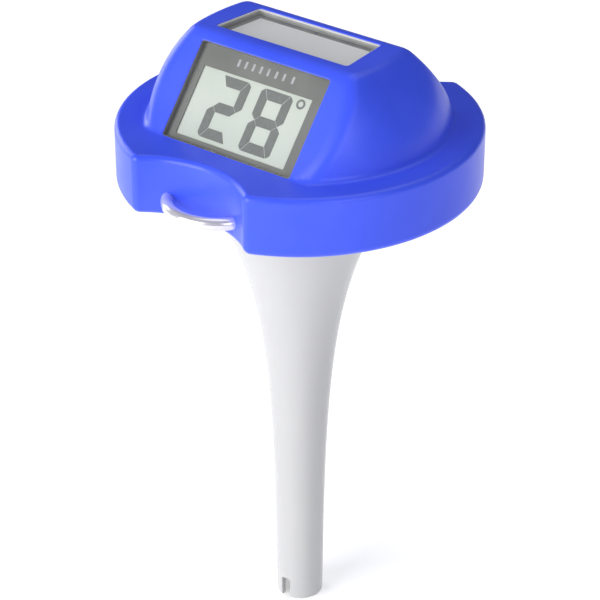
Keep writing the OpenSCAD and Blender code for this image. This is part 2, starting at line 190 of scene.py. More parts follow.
def clear_material(name, tint, rough):
    """Clear moulded plastic: lets light straight through and mirrors at a slant."""
    m, nt, b = new_material(name)
    nt.nodes.remove(b)
    out = nt.nodes["Material Output"]
    through = node(nt, "ShaderNodeBsdfTransparent")
    through.inputs["Color"].default_value = (*tint, 1)
    mirror = node(nt, "ShaderNodeBsdfGlossy")
    mirror.inputs["Color"].default_value = (1, 1, 1, 1)
    nt.links.new(
        spread(nt, noise(nt, 300, 5.0), rough, rough * 2.5), mirror.inputs["Roughness"]
    )
    facing = node(nt, "ShaderNodeLayerWeight")
    facing.inputs["Blend"].default_value = 0.5
    slant = node(nt, "ShaderNodeMath", operation="POWER")
    slant.inputs[1].default_value = 5
    nt.links.new(facing.outputs["Facing"], slant.inputs[0])
    share = spread(nt, slant.outputs["Value"], 0.04, 1.0, (0, 1))
    geometry = node(nt, "ShaderNodeNewGeometry")
    front = node(nt, "ShaderNodeMath", operation="SUBTRACT")
    front.inputs[0].default_value = 1
    nt.links.new(geometry.outputs["Backfacing"], front.inputs[1])
    once = node(nt, "ShaderNodeMath", operation="MULTIPLY")
    nt.links.new(share, once.inputs[0])
    nt.links.new(front.outputs["Value"], once.inputs[1])
    mix = node(nt, "ShaderNodeMixShader")
    nt.links.new(once.outputs["Value"], mix.inputs["Fac"])
    nt.links.new(through.outputs["BSDF"], mix.inputs[1])
    nt.links.new(mirror.outputs["BSDF"], mix.inputs[2])
    nt.links.new(mix.outputs["Shader"], out.inputs["Surface"])
    return m


BLUE = finish_for(
    "shell_blue",
    (0.046, 0.094, 0.86),
    (0.060, 0.112, 0.94),
    (0.28, 0.36),
    tone_scale=35,
    grain_scale=3200,
    grain=0.0000035,
    ior=1.4,
)
COVER_BLUE = finish_for(
    "cover_blue",
    (0.032, 0.070, 0.74),
    (0.045, 0.088, 0.82),
    (0.36, 0.46),
    tone_scale=45,
    grain_scale=2400,
    grain=0.000008,
)
STEM_WHITE = finish_for(
    "stem_white",
    (0.51, 0.51, 0.515),
    (0.54, 0.54, 0.54),
    (0.18, 0.26),
    tone_scale=30,
    grain_scale=2200,
    grain=0.000003,
    stretch=(1, 1, 0.35),
    subsurface=0.08,
)
# near-white metal for the tether bar; the lavender tint in its colour is a painted reflection of
# the blue shell
CHROME = finish_for(
    "bar_chrome",
    (0.74, 0.72, 0.80),
    (0.83, 0.81, 0.88),
    (0.17, 0.25),
    tone_scale=220,
    grain_scale=1500,
    grain=0.000002,
    metallic=0.55,
    stretch=(0.3, 1, 1),
    coat=0.35,
)
BEZEL = finish_for(
    "bezel_grey",
    (0.175, 0.177, 0.172),
    (0.215, 0.217, 0.210),
    (0.30, 0.42),
    tone_scale=70,
    grain_scale=4200,
    grain=0.000003,
)
TICK = finish_for(
    "tick_white", (0.38, 0.38, 0.40), (0.50, 0.50, 0.52), (0.3, 0.45), tone_scale=500
)
LCD = finish_for(
    "lcd_glass",
    (0.595, 0.640, 0.585),
    (0.650, 0.685, 0.635),
    (0.18, 0.26),
    tone_scale=55,
    grain_scale=6000,
    grain=0.0000015,
    coat=0.1,
)
SEGMENT = finish_for(
    "lcd_segment",
    (0.172, 0.182, 0.178),
    (0.210, 0.220, 0.216),
    (0.28, 0.4),
    tone_scale=900,
    grain_scale=9000,
    grain=0.000002,
)
REFLECTOR = finish_for(
    "reflector_film", (0.55, 0.56, 0.55), (0.72, 0.73, 0.72), (0.35, 0.5), metallic=0.6
)
CONTACT = finish_for(
    "contact_rubber",
    (0.16, 0.13, 0.13),
    (0.30, 0.24, 0.24),
    (0.6, 0.8),
    tone_scale=2500,
    stretch=(6, 0.2, 0.2),
)
FRAME_PLASTIC = finish_for(
    "frame_plastic", (0.66, 0.66, 0.64), (0.76, 0.76, 0.74), (0.35, 0.5)
)
GASKET = finish_for(
    "seal_rubber",
    (0.27, 0.27, 0.28),
    (0.33, 0.33, 0.34),
    (0.55, 0.75),
    tone_scale=120,
    grain_scale=1800,
    grain=0.00001,
)
EDGING = finish_for(
    "window_edging",
    (0.33, 0.33, 0.325),
    (0.42, 0.42, 0.41),
    (0.45, 0.6),
    tone_scale=120,
    grain_scale=1800,
    grain=0.000006,
)
CELL = finish_for(
    "solar_cell",
    (0.88, 0.87, 0.90),
    (0.92, 0.91, 0.94),
    (0.35, 0.45),
    tone_scale=24,
    grain_scale=5000,
    grain=0.000003,
)
STEEL = finish_for(
    "screw_steel",
    (0.46, 0.46, 0.47),
    (0.62, 0.62, 0.63),
    (0.29, 0.40),
    tone_scale=400,
    grain_scale=3000,
    grain=0.000006,
    metallic=1.0,
)
BOARD = finish_for(
    "circuit_board",
    (0.010, 0.075, 0.030),
    (0.020, 0.130, 0.050),
    (0.29, 0.4),
    tone_scale=350,
)
RIBBON = finish_for(
    "ribbon_film",
    (0.45, 0.26, 0.06),
    (0.60, 0.38, 0.12),
    (0.29, 0.36),
    tone_scale=900,
    stretch=(5, 0.3, 0.3),
)
RED = finish_for(
    "lead_red", (0.42, 0.02, 0.02), (0.55, 0.04, 0.03), (0.35, 0.5), tone_scale=200
)
BLACK = finish_for(
    "component_black",
    (0.016, 0.016, 0.017),
    (0.04, 0.04, 0.042),
    (0.35, 0.6),
    tone_scale=300,
)
CELL_STEEL = finish_for(
    "cell_steel",
    (0.60, 0.60, 0.60),
    (0.74, 0.74, 0.73),
    (0.15, 0.26),
    tone_scale=300,
    metallic=1.0,
)
IVORY = finish_for(
    "connector_plastic", (0.70, 0.66, 0.52), (0.80, 0.77, 0.64), (0.3, 0.45)
)
LEAD = finish_for(
    "lead_black",
    (0.014, 0.014, 0.015),
    (0.03, 0.03, 0.032),
    (0.4, 0.6),
    tone_scale=200,
    grain_scale=1500,
    grain=0.00001,
)
BEAD = finish_for(
    "sensor_bead", (0.10, 0.04, 0.015), (0.18, 0.07, 0.03), (0.29, 0.36), tone_scale=600
)
PROBE = finish_for(
    "probe_steel",
    (0.62, 0.62, 0.63),
    (0.76, 0.76, 0.77),
    (0.14, 0.26),
    tone_scale=260,
    grain_scale=2600,
    grain=0.000006,
    metallic=1.0,
    stretch=(1, 1, 0.15),
)
IRON = finish_for(
    "ballast_iron",
    (0.10, 0.10, 0.105),
    (0.20, 0.195, 0.19),
    (0.5, 0.75),
    tone_scale=250,
    grain_scale=1200,
    grain=0.00003,
    metallic=0.8,
)
BUTTON_GREY = finish_for(
    "button_grey",
    (0.20, 0.21, 0.22),
    (0.27, 0.28, 0.29),
    (0.4, 0.55),
    tone_scale=160,
    grain_scale=2600,
    grain=0.00001,
)
BOOT = finish_for(
    "boot_silicone",
    (0.28, 0.28, 0.29),
    (0.38, 0.38, 0.40),
    (0.5, 0.65),
    tone_scale=160,
)
CLEAR = clear_material("clear_window", (0.985, 0.99, 0.985), 0.03)

CAD_MATERIALS = {
    "shell_blue": BLUE,
    "cover_blue": COVER_BLUE,
    "seal_rubber": GASKET,
    "screw_steel": STEEL,
    "bar_chrome": CHROME,
    "clear_window": CLEAR,
    "bezel_grey": BEZEL,
    "lcd_glass": LCD,
    "reflector_film": REFLECTOR,
    "contact_rubber": CONTACT,
    "frame_plastic": FRAME_PLASTIC,
    "circuit_board": BOARD,
    "ribbon_film": RIBBON,
    "solar_cell": CELL,
    "lead_red": RED,
    "component_black": BLACK,
    "cell_steel": CELL_STEEL,
    "connector_plastic": IVORY,
    "lead_black": LEAD,
    "sensor_bead": BEAD,
    "probe_steel": PROBE,
    "ballast_iron": IRON,
    "stem_white": STEM_WHITE,
    "button_grey": BUTTON_GREY,
    "boot_silicone": BOOT,
}
for part in frame["record"]["subparts"]:
    o = nodes[part["node"]]
    o.data.materials.clear()
    o.data.materials.append(CAD_MATERIALS[part["material_slot"]])

# ---------------------------------------------------------------- mesh building


def unit(v):
    v = np.asarray(v, float)
    return v / np.maximum(np.linalg.norm(v, axis=-1, keepdims=True), 1e-12)


class Build:
    """A mesh with a normal for every face corner. Points closer than 1e-4 mm are one vertex."""

    def __init__(self):
        self.points, self.faces, self.normals, self.seen = [], [], [], {}

    def vert(self, p):
        key = (round(p[0], 4), round(p[1], 4), round(p[2], 4))
        if key not in self.seen:
            self.seen[key] = len(self.points)
            self.points.append((float(p[0]), float(p[1]), float(p[2])))
        return self.seen[key]

    def face(self, points, normals):
        ids = [self.vert(p) for p in points]
        keep = [i for i in range(len(ids)) if ids[i] != ids[i - 1]]
        if len(keep) < 3 or len({ids[i] for i in keep}) < 3:
            return
        a, b, c = (np.array(points[keep[i]]) for i in (0, 1, 2))
        way = np.cross(b - a, c - a)
        if len(keep) == 4:
            way = np.cross(c - a, np.array(points[keep[3]]) - b)
        if np.dot(way, sum(np.asarray(normals[i], float) for i in keep)) < 0:
            keep = keep[::-1]
        self.faces.append([ids[i] for i in keep])
        self.normals.extend(tuple(normals[i]) for i in keep)

    def strip(self, a, b, na, nb, closed=True):
        """Quads between two rings of points, with the normals of each."""
        n = len(a)
        for i in range(n if closed else n - 1):
            j = (i + 1) % n
            self.face([a[i], a[j], b[j], b[i]], [na[i], na[j], nb[j], nb[i]])

    def fan(self, ring, normal):
        """A flat convex cap."""
        centre = np.mean(ring, axis=0)
        n = len(ring)
        for i in range(n):
            self.face([centre, ring[i], ring[(i + 1) % n]], [normal] * 3)

    def finish(self, name, body, slot, material, stands_for=()):
        mesh = bpy.data.meshes.new(name)
        mesh.from_pydata([tuple(c * MM for c in p) for p in self.points], [], self.faces)
        mesh.polygons.foreach_set("use_smooth", [True] * len(mesh.polygons))
        mesh.normals_split_custom_set([tuple(unit(n)) for n in self.normals])
        mesh.materials.append(material)
        o = bpy.data.objects.new(name, mesh)
        scene.collection.objects.link(o)
        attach(o, body)
        if stands_for:
            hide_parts(*stands_for)
        return o


def polygon_ring(corners, radius, out, k=6, m=24):
    """A convex polygon, counter-clockwise, with corners rounded by radius and moved outwards by
    out. Gives points and outward directions, as many for every out."""
    pts = np.array(corners, float)
    n = len(pts)
    r = radius + out
    inset = radius
    if r < 0.05:
        inset, r = 0.05 - out, 0.05
    edges = unit(np.roll(pts, -1, 0) - pts)
    outward = np.stack([edges[:, 1], -edges[:, 0]], 1)
    centres = []
    for i in range(n):
        a, b = outward[i - 1], outward[i]
        da, db = np.dot(a, pts[i]) - inset, np.dot(b, pts[i]) - inset
        centres.append(np.linalg.solve(np.array([a, b]), [da, db]))
    ring, dirs = [], []
    for i in range(n):
        a0 = np.arctan2(outward[i - 1][1], outward[i - 1][0])
        a1 = np.arctan2(outward[i][1], outward[i][0])
        while a1 < a0:
            a1 += 2 * pi
        for j in range(k + 1):
            t = a0 + (a1 - a0) * j / k
            d = np.array([cos(t), sin(t)])
            ring.append(centres[i] + r * d)
            dirs.append(d)
        start, end = ring[-1], centres[(i + 1) % n] + r * outward[i]
        for j in range(1, m):
            ring.append(start + (end - start) * j / m)
            dirs.append(outward[i])
    return np.array(ring), np.array(dirs)


class Plane:
    """A flat place with its own axes: x and y along it, z out of it."""

    def __init__(self, origin, x, y):
        self.o, self.x, self.y = (np.array(v, float) for v in (origin, x, y))
        self.z = np.cross(self.x, self.y)

    def at(self, xy, height=0.0):
        xy = np.asarray(xy, float)
        return (
            self.o
            + xy[..., :1] * self.x
            + xy[..., 1:2] * self.y
            + np.asarray(height) * self.z
        )

    def way(self, xy):
        xy = np.asarray(xy, float)
        return xy[..., :1] * self.x + xy[..., 1:2] * self.y


FRONT = Plane((0, -FRONT_FOOT, FLOAT_TOP), (1, 0, 0), (0, cos(SLOPE), sin(SLOPE)))
ROOF = Plane((0, 0, HOUSING_TOP), (1, 0, 0), (0, 1, 0))


def rect(w, y0, h):
    return [(-w / 2, y0), (w / 2, y0), (w / 2, y0 + h), (-w / 2, y0 + h)]


def solar_outline(inset):
    y = 10.1 - inset
    taper = (53.3 - 49.5) / 2 / 20.2 * inset
    front, back = 26.65 - inset - taper, 24.75 - inset + taper
    return [(-front, -y), (front, -y), (back, y), (-back, y)]


def slab(b, plane, corners, radius, top, bottom, soft, k=6, m=6, cap=True):
    """A flat piece between two heights over a plane, with softened edges. Returns its rings."""
    up = plane.z
    rings = []
    steps = [0, 30, 60, 90]
    for a in steps:
        t = radians(a)
        ring, d = polygon_ring(corners, radius, -soft * (1 - sin(t)), k, m)
        rings.append(
            (plane.at(ring, top - soft * (1 - cos(t))), sin(t) * plane.way(d) + cos(t) * up)
        )
    for a in reversed(steps):
        t = radians(a)
        ring, d = polygon_ring(corners, radius, -soft * (1 - sin(t)), k, m)
        rings.append(
            (
                plane.at(ring, bottom + soft * (1 - cos(t))),
                sin(t) * plane.way(d) - cos(t) * up,
            )
        )
    for (p, n), (q, o) in zip(rings, rings[1:]):
        b.strip(p, q, n, o)
    if cap:
        b.fan(rings[0][0], up)
        b.fan(rings[-1][0], -up)
    return rings


def lathe(b, profile, centre=(0, 0), segments=96):
    """Turns (radius, z, normal_r, normal_z) points round a vertical axis. A point given twice
    with other normals makes a crisp edge."""
    angles = np.linspace(0, 2 * pi, segments, endpoint=False)
    c, s = np.cos(angles), np.sin(angles)

    def ring(p):
        r, z = p[0], p[1]
        return np.stack([centre[0] + r * c, centre[1] + r * s, np.full(segments, z)], 1)

    def normal(p):
        return np.stack([p[2] * c, p[2] * s, np.full(segments, p[3])], 1)

    for p, q in zip(profile, profile[1:]):
        if abs(p[0] - q[0]) < 1e-6 and abs(p[1] - q[1]) < 1e-6:
            continue
        b.strip(ring(p), ring(q), normal(p), normal(q))


def arc(cr, cz, r, a0, a1, steps=5):
    """Points of a lathe profile on an arc, in degrees from the radius axis."""
    out = []
    for i in range(steps + 1):
        t = radians(a0 + (a1 - a0) * i / steps)
        out.append((cr + r * cos(t), cz + r * sin(t), cos(t), sin(t)))
    return out


def inside(pts, ring):
    """Which points lie inside a closed ring."""
    x, y = pts[:, 0], pts[:, 1]
    hit = np.zeros(len(pts), bool)
    a, b = ring, np.roll(ring, -1, 0)
    for (x0, y0), (x1, y1) in zip(a, b):
        if y0 == y1:
            continue
        cross = ((y0 > y) != (y1 > y)) & (x < (x1 - x0) * (y - y0) / (y1 - y0) + x0)
        hit ^= cross
    return hit


def patch(b, outer, holes, height, step, flip=False, lines=()):
    """A sheet over the plan inside outer and outside holes, at height(x, y). The rings, and open
    lines that edges follow, are given as 3-D points and kept as they are."""
    rings = [np.asarray(r, float) for r in [outer] + holes]
    closed = len(rings)
    lines = list(lines)
    xs = np.arange(-FLOAT_R, FLOAT_R + step, step)
    rows = []
    for i, y in enumerate(np.arange(-FLOAT_R, FLOAT_R + step, step * 0.87)):
        rows.append(np.stack([xs + (i % 2) * step / 2, np.full(len(xs), y)], 1))
    grid = np.concatenate(rows)
    grid = grid[inside(grid, rings[0][:, :2])]
    for r in rings[1:]:
        grid = grid[~inside(grid, r[:, :2])]
    edge = np.concatenate([r[:, :2] for r in rings + lines])
    near = np.full(len(grid), 1e9)
    for p in edge:
        near = np.minimum(near, (grid[:, 0] - p[0]) ** 2 + (grid[:, 1] - p[1]) ** 2)
    grid = grid[near > (0.55 * step) ** 2]
    constraints, start = [], 0
    for i, r in enumerate(rings + lines):
        n = len(r)
        last = n if i < closed else n - 1
        constraints += [(start + j, start + (j + 1) % n) for j in range(last)]
        start += n
    flat = np.concatenate([edge, grid])
    made = delaunay_2d_cdt(
        [Vector((float(p[0]), float(p[1]))) for p in flat], constraints, [], 0, 1e-6, True
    )
    xy = np.array([(v.x, v.y) for v in made[0]])
    tris = np.array([f for f in made[2] if len(f) == 3])
    middle = xy[tris].mean(1)
    keep = inside(middle, rings[0][:, :2])
    for r in rings[1:]:
        keep &= ~inside(middle, r[:, :2])
    tris = tris[keep]
    z = height(xy[:, 0], xy[:, 1])
    solid = np.concatenate(rings + lines)
    for i, origin in enumerate(made[3]):
        if len(origin) and origin[0] < len(solid):
            z[i] = solid[origin[0], 2]
            xy[i] = solid[origin[0], :2]
    e = 0.02
    gx = (height(xy[:, 0] + e, xy[:, 1]) - height(xy[:, 0] - e, xy[:, 1])) / (2 * e)
    gy = (height(xy[:, 0], xy[:, 1] + e) - height(xy[:, 0], xy[:, 1] - e)) / (2 * e)
    normal = unit(np.stack([-gx, -gy, np.ones(len(z))], 1)) * (-1 if flip else 1)
    full = np.column_stack([xy, z])
    for t in tris:
        b.face([full[i] for i in t], [normal[i] for i in t])


# ---------------------------------------------------------------- upper shell


def smin(a, c, k):
    h = np.clip(0.5 + 0.5 * (c - a) / k, 0, 1)
    return c * (1 - h) + a * h - k * h * (1 - h)


def smax(a, c, k):
    return -smin(-a, -c, k)


def housing_gap(x, y, z, thick, front_thick, roof_thick, soft):
    """How far a point lies outside the housing, about in mm; each face is moved in by its own
    thickness, and their ridges are blended over soft."""
    r = np.sqrt(x * x + y * y)
    dome = np.sqrt((r - DOME_X) ** 2 + (z - DOME_Z) ** 2) - DOME_R + thick
    side = (
        (np.abs(x) - TOP_HALF_W) * sin(SIDE_SLOPE)
        + (z - HOUSING_TOP) * cos(SIDE_SLOPE)
        + thick
    )
    front = (
        -(y + FRONT_FOOT) * sin(SLOPE) + (z - FLOAT_TOP) * cos(SLOPE) + front_thick
    )
    back = (y - BACK_EDGE) * sin(SLOPE) + (z - HOUSING_TOP) * cos(SLOPE) + thick
    roof = z - HOUSING_TOP + roof_thick
    d = smax(dome, side, 3.0 * soft)
    d = smax(d, roof, 1.6 * soft)
    d = smax(d, front, 2.6 * soft)
    return smax(d, back, 2.2 * soft), dome - np.maximum(np.maximum(front, back), side)


def outer_gap(x, y, z):
    """How far a point lies outside the shell's upper side, with a fillet at the housing's foot."""
    step = np.clip((np.abs(x) - 26.5) / 8, 0, 1)
    behind = np.clip((y + 20) / 20, 0, 1)
    fillet = 0.3 + 1.7 * np.maximum(step * step * (3 - 2 * step), behind)
    return smin(housing_gap(x, y, z, 0, 0, 0, 1)[0], z - FLOAT_TOP, fillet)


INNER_ROOF = 4.2


def inner_gap(x, y, z):
    d = housing_gap(x, y, z, WALL, 3.9, INNER_ROOF, 0.5)[0]
    return smin(d, z - FLOAT_TOP + WALL, np.full_like(x, 1.0))


def solve_height(gap, x, y):
    lo, hi = np.full_like(x, 0.0), np.full_like(x, 45.0)
    for _ in range(38):
        mid = (lo + hi) / 2
        outside = gap(x, y, mid) > 0
        hi = np.where(outside, mid, hi)
        lo = np.where(outside, lo, mid)
    return (lo + hi) / 2


def outer_height(x, y):
    return solve_height(outer_gap, x, y)


def inner_height(x, y):
    return solve_height(inner_gap, x, y)


def flank_reach(theta, z):
    """Distance from the axis to the housing's surface at height z in direction theta."""
    lo, hi = np.full_like(theta, 5.0), np.full_like(theta, 59.0)
    c, s = np.cos(theta), np.sin(theta)
    for _ in range(38):
        mid = (lo + hi) / 2
        outside = outer_gap(mid * c, mid * s, np.full_like(mid, z)) > 0
        hi = np.where(outside, mid, hi)
        lo = np.where(outside, lo, mid)
    return (lo + hi) / 2


def flank_lines():
    """Level lines where the flank is too steep for an even grid in plan."""
    lines = []
    theta = np.linspace(-pi, pi, 380, endpoint=False) + 0.001
    for up in (0.04, 0.2, 0.5, 0.95, 1.6, 2.5, 3.7, 5.2, 7.0, 9.2, 11.8, 15.0):
        z = FLOAT_TOP + up
        r = flank_reach(theta, z)
        x, y = r * np.cos(theta), r * np.sin(theta)
        level = np.full_like(x, z)
        steep = housing_gap(x, y, level, 0, 0, 0, 1)[1] > -0.3
        start = int(np.argmin(steep))
        run = []
        for k in range(len(theta) + 1):
            i = (start + k) % len(theta)
            if steep[i] and k < len(theta):
                run.append((x[i], y[i], z))
            else:
                if len(run) > 3:
                    lines.append(np.array(run))
                run = []
    return lines


def plan_ring(inset, rim=150, corner=10, scallop=60):
    """The float's outline moved inwards, counter-clockwise, with outward directions."""
    q = max(HORN_ROUND, inset + 0.05)
    big, small = FLOAT_R - q, SCALLOP_R + q
    fy = (SCALLOP_Y**2 + big**2 - small**2) / (2 * SCALLOP_Y)
    fx = sqrt(big**2 - fy**2)
    r = q - inset
    out_a = np.arctan2(fy, fx)
    in_a = np.arctan2(SCALLOP_Y - fy, -fx)
    pts, dirs = [], []

    def add(cx, cy, radius, a0, a1, n, sign):
        for t in np.linspace(a0, a1, n + 1)[:-1]:
            pts.append((cx + radius * cos(t), cy + radius * sin(t)))
            dirs.append((sign * cos(t), sign * sin(t)))

    hollow = np.arctan2(fy - SCALLOP_Y, fx)
    for turn in (0, 1):
        base = turn * pi
        c, s = cos(base), sin(base)
        add(0, 0, FLOAT_R - inset, base - out_a, base + out_a, rim, 1)
        add(fx * c - fy * s, fx * s + fy * c, r, base + out_a, base + in_a, corner, 1)
        add(
            -SCALLOP_Y * s,
            SCALLOP_Y * c,
            SCALLOP_R + inset,
            base + hollow,
            base - pi - hollow,
            scallop,
            -1,
        )
        add(
            -fx * c - fy * s,
            -fx * s + fy * c,
            r,
            base + pi - in_a,
            base + pi - out_a,
            corner,
            1,
        )
    return np.array(pts), np.array(dirs)


def upper_shell():
    b = Build()
    flat_up, flat_down = np.array([0, 0, 1.0]), np.array([0, 0, -1.0])

    def level(inset, z, tilt):
        """A ring of the band: tilt is the angle of its normal above the horizontal."""
        p, d = plan_ring(inset)
        n = np.column_stack([d * cos(tilt), np.full(len(d), sin(tilt))])
        return np.column_stack([p, np.full(len(p), z)]), n

    # the two window openings: bevelled rim, wall, seat, and the wall of the smaller opening
    holes_outer, holes_inner = [], []
    windows = [
        (
            FRONT,
            rect(51.8, 0.2, 33.2),
            0.9,
            2.4,
            rect(47.6, 1.5, 29.8),
            3.9,
        ),
        (ROOF, solar_outline(0), 1.1, 2.7, solar_outline(2), INNER_ROOF),
    ]
    for plane, outline, radius, seat, opening, through in windows:
        soft = 0.32
        rings = []
        for a in (0, 30, 60, 90):
            t = radians(a)
            ring, d = polygon_ring(outline, radius, soft * (1 - sin(t)), 6, 40)
            rings.append(
                (
                    plane.at(ring, -soft * (1 - cos(t))),
                    cos(t) * plane.z - sin(t) * plane.way(d),
                )
            )
        for (p, n), (q, o) in zip(rings, rings[1:]):
            b.strip(p, q, n, o)
        ring, d = polygon_ring(outline, radius, 0, 6, 40)
        low = plane.at(ring, -seat)
        b.strip(rings[-1][0], low, -plane.way(d), -plane.way(d))
        small, e = polygon_ring(opening, 0.6, 0, 6, 40)
        lip = plane.at(small, -seat)
        up = np.tile(plane.z, (len(small), 1))
        b.strip(low, lip, up, up)
        bottom = plane.at(small, -through)
        b.strip(lip, bottom, -plane.way(e), -plane.way(e))
        holes_outer.append(rings[0][0])
        holes_inner.append(bottom)

    top, _ = level(TOP_ROUND, FLOAT_TOP, pi / 2)
    patch(b, top, holes_outer, outer_height, 0.8, lines=flank_lines())

    rings = []
    for a in (90, 72, 54, 36, 18, 0):
        t = radians(a)
        rings.append(
            level(
                TOP_ROUND * (1 - cos(t)), FLOAT_TOP - TOP_ROUND * (1 - sin(t)), t
            )
        )
    for z in (3.0, -1.0, -5.0):
        rings.append(level(0, z, 0))
    for a in (0, 15, 30, 45, 60, 75, 90):
        t = radians(a)
        rings.append(
            level(
                BOTTOM_ROUND * (1 - cos(t)),
                FLOAT_UNDER + BOTTOM_ROUND * (1 - sin(t)),
                -t,
            )
        )
    for (p, n), (q, o) in zip(rings, rings[1:]):
        b.strip(p, q, n, o)

    # the inside: recess of the cover, ledge, wall and ceiling
    steps = [
        (COVER_IN, FLOAT_UNDER, SEAL_TOP, flat_down),
        (LEDGE_IN, SEAL_TOP, LEDGE_Z, flat_down),
        (WALL, LEDGE_Z, FLOAT_TOP - WALL, flat_up),
    ]
    last = rings[-1][0]
    for inset, z0, z1, ledge in steps:
        low, _ = level(inset, z0, 0)
        high, n = level(inset, z1, 0)
        face = np.tile(ledge, (len(low), 1))
        b.strip(last, low, face, face)
        b.strip(low, high, -n, -n)
        last = high
    patch(b, last, holes_inner, inner_height, 2.5, flip=True)
    return b


def boss(b, x, y, z0, z1, r, hole, deep):
    """A screw boss: a tube closed at its upper end."""
    lathe(
        b,
        [
            (0, z1, 0, 1),
            (r, z1, 0, 1),
            (r, z1, 1, 0),
            (r, z0 + 0.2, 1, 0),
            (r - 0.2, z0, 0, -1),
            (hole, z0, 0, -1),
            (hole, z0, -1, 0),
            (hole, z0 + deep, -1, 0),
            (hole, z0 + deep, 0, -1),
            (0, z0 + deep, 0, -1),
        ],
        (x, y),
        32,
    )


shell = upper_shell()
for a in (22, 56, 124, 158, 202, 236, 304, 338):
    boss(
        shell,
        49 * cos(radians(a)),
        49 * sin(radians(a)),
        SEAL_TOP + 0.05,
        -3.0,
        3.4,
        1.5,
        5,
    )
shell.finish("shell_body", "float", "shell_blue", BLUE, ["upper_shell"])

# ---------------------------------------------------------------- stem


def stem_radius(z):
    return STEM_TIP_R + STEM_FLARE * np.exp((z - FLOAT_UNDER) / STEM_FADE)


def stem():
    b = Build()

    def wall(z0, z1, inwards, n):
        out = []
        for z in np.linspace(z0, z1, n):
            k = (stem_radius(z) - STEM_TIP_R) / STEM_FADE
            tilt = unit([1, -k])
            sign = -1 if inwards else 1
            out.append((stem_radius(z) - inwards, z, sign * tilt[0], sign * tilt[1]))
        return out

    end_r = stem_radius(STEM_END)
    soft = 0.7
    profile = [(30.5, FLOAT_UNDER, 0, 1), (36.15, FLOAT_UNDER, 0, 1)]
    profile += wall(FLOAT_UNDER - 0.15, STEM_END + soft, 0, 110)
    profile += arc(end_r - soft, STEM_END + soft, soft, 0, -90, 5)
    inner = end_r - STEM_WALL
    profile += [
        (inner + 0.25, STEM_END, 0, -1),
        (inner, STEM_END + 0.25, -1, 0),
    ]
    profile += wall(STEM_END + 0.4, FLOAT_UNDER - 2.5, STEM_WALL, 60)
    profile += [(30.5, FLOAT_UNDER - 2.5, -1, 0), (30.5, FLOAT_UNDER, -1, 0)]
    lathe(b, profile, segments=128)
    return b


stem_obj = stem().finish("stem_body", "float", "stem_white", STEM_WHITE, ["stem"])

# notches in the stem's end, cut on two sides
cutter = Build()
NOTCH_REACH = 20  # well past the stem on both sides
half, high = 1.85, STEM_END + 8
outline = [(-half, STEM_END - 3), (half, STEM_END - 3), (half, high), (-half, high)]
NOTCH = Plane((0, 0, 0), (1, 0, 0), (0, 0, 1))
ring, d = polygon_ring(outline, 1.0, 0, 8, 4)
p, q = NOTCH.at(ring, -NOTCH_REACH), NOTCH.at(ring, NOTCH_REACH)
cutter.strip(p, q, NOTCH.way(d), NOTCH.way(d))
cutter.fan(p, -NOTCH.z)
cutter.fan(q, NOTCH.z)
cut_mesh = bpy.data.meshes.new("cutter")
cut_mesh.from_pydata([tuple(c * MM for c in p) for p in cutter.points], [], cutter.faces)
cut_obj = bpy.data.objects.new("cutter", cut_mesh)
scene.collection.objects.link(cut_obj)
boolean = stem_obj.modifiers.new("notches", "BOOLEAN")
boolean.operation = "DIFFERENCE"
boolean.solver = "EXACT"
boolean.object = cut_obj
bpy.context.view_layer.update()
cut = bpy.data.meshes.new_from_object(
    stem_obj.evaluated_get(bpy.context.evaluated_depsgraph_get())
)
stem_obj.modifiers.clear()
stem_obj.data = cut
bpy.data.objects.remove(cut_obj)
cut.polygons.foreach_set("use_smooth", [True] * len(cut.polygons))
cut.set_sharp_from_angle(angle=radians(35))

# ---------------------------------------------------------------- tether bar


def tether_bar():
    b = Build()
    r, bow, z, half = 2.09, 16.2, -6.2, 13.4
    wall_y = -SCALLOP_Y + sqrt(SCALLOP_R**2 - half**2)
    cy = wall_y + sqrt(bow**2 - half**2)
    reach = np.arcsin((wall_y + 5.0 - cy) / bow)
    angles = np.linspace(-pi - reach, reach, 97)
    around = np.linspace(0, 2 * pi, 33)[:-1]
    rings = []
    for a in angles:
        d = np.array([cos(a), sin(a), 0])
        centre = np.array([0, cy, z]) + bow * d
        n = np.array([cos(t) * d + sin(t) * np.array([0, 0, 1]) for t in around])
        rings.append((centre + r * n, n))
    for (p, n), (q, o) in zip(rings, rings[1:]):
        b.strip(p, q, n, o)
    for (p, _), a, sign in ((rings[0], angles[0], -1), (rings[-1], angles[-1], 1)):
        b.fan(p, sign * np.array([-sin(a), cos(a), 0]))
    return b


tether_bar().finish("tether_bow", "float", "bar_chrome", CHROME, ["tether_bar"])

# ---------------------------------------------------------------- display

WINDOW = rect(51.5, 0.35, 32.9)
WINDOW_CORNER = 0.75
MASK_TOP, MASK_UNDER = -2.12, -2.4
TICK_TOP = -2.085
GLASS_TOP, DIGIT_TOP = -2.6, -2.54

window = Build()
slab(window, FRONT, WINDOW, WINDOW_CORNER, -0.6, -2.1, 0.22)
window.finish("display_window", "float", "clear_window", CLEAR, ["lcd_window"])


def liner(b, plane, corners, radius, top, bottom, wide=0.14):
    """A thin upright edge round a window, just inside the wall of its pocket."""
    outer, d = polygon_ring(corners, radius, 0, 6, 40)
    inner, e = polygon_ring(corners, radius, -wide, 6, 40)
    up = np.tile(plane.z, (len(outer), 1))
    b.strip(plane.at(outer, top), plane.at(inner, top), up, up)
    b.strip(plane.at(inner, top), plane.at(inner, bottom), -plane.way(e), -plane.way(e))
    b.strip(plane.at(outer, top), plane.at(outer, bottom), plane.way(d), plane.way(d))
    b.strip(plane.at(outer, bottom), plane.at(inner, bottom), -up, -up)


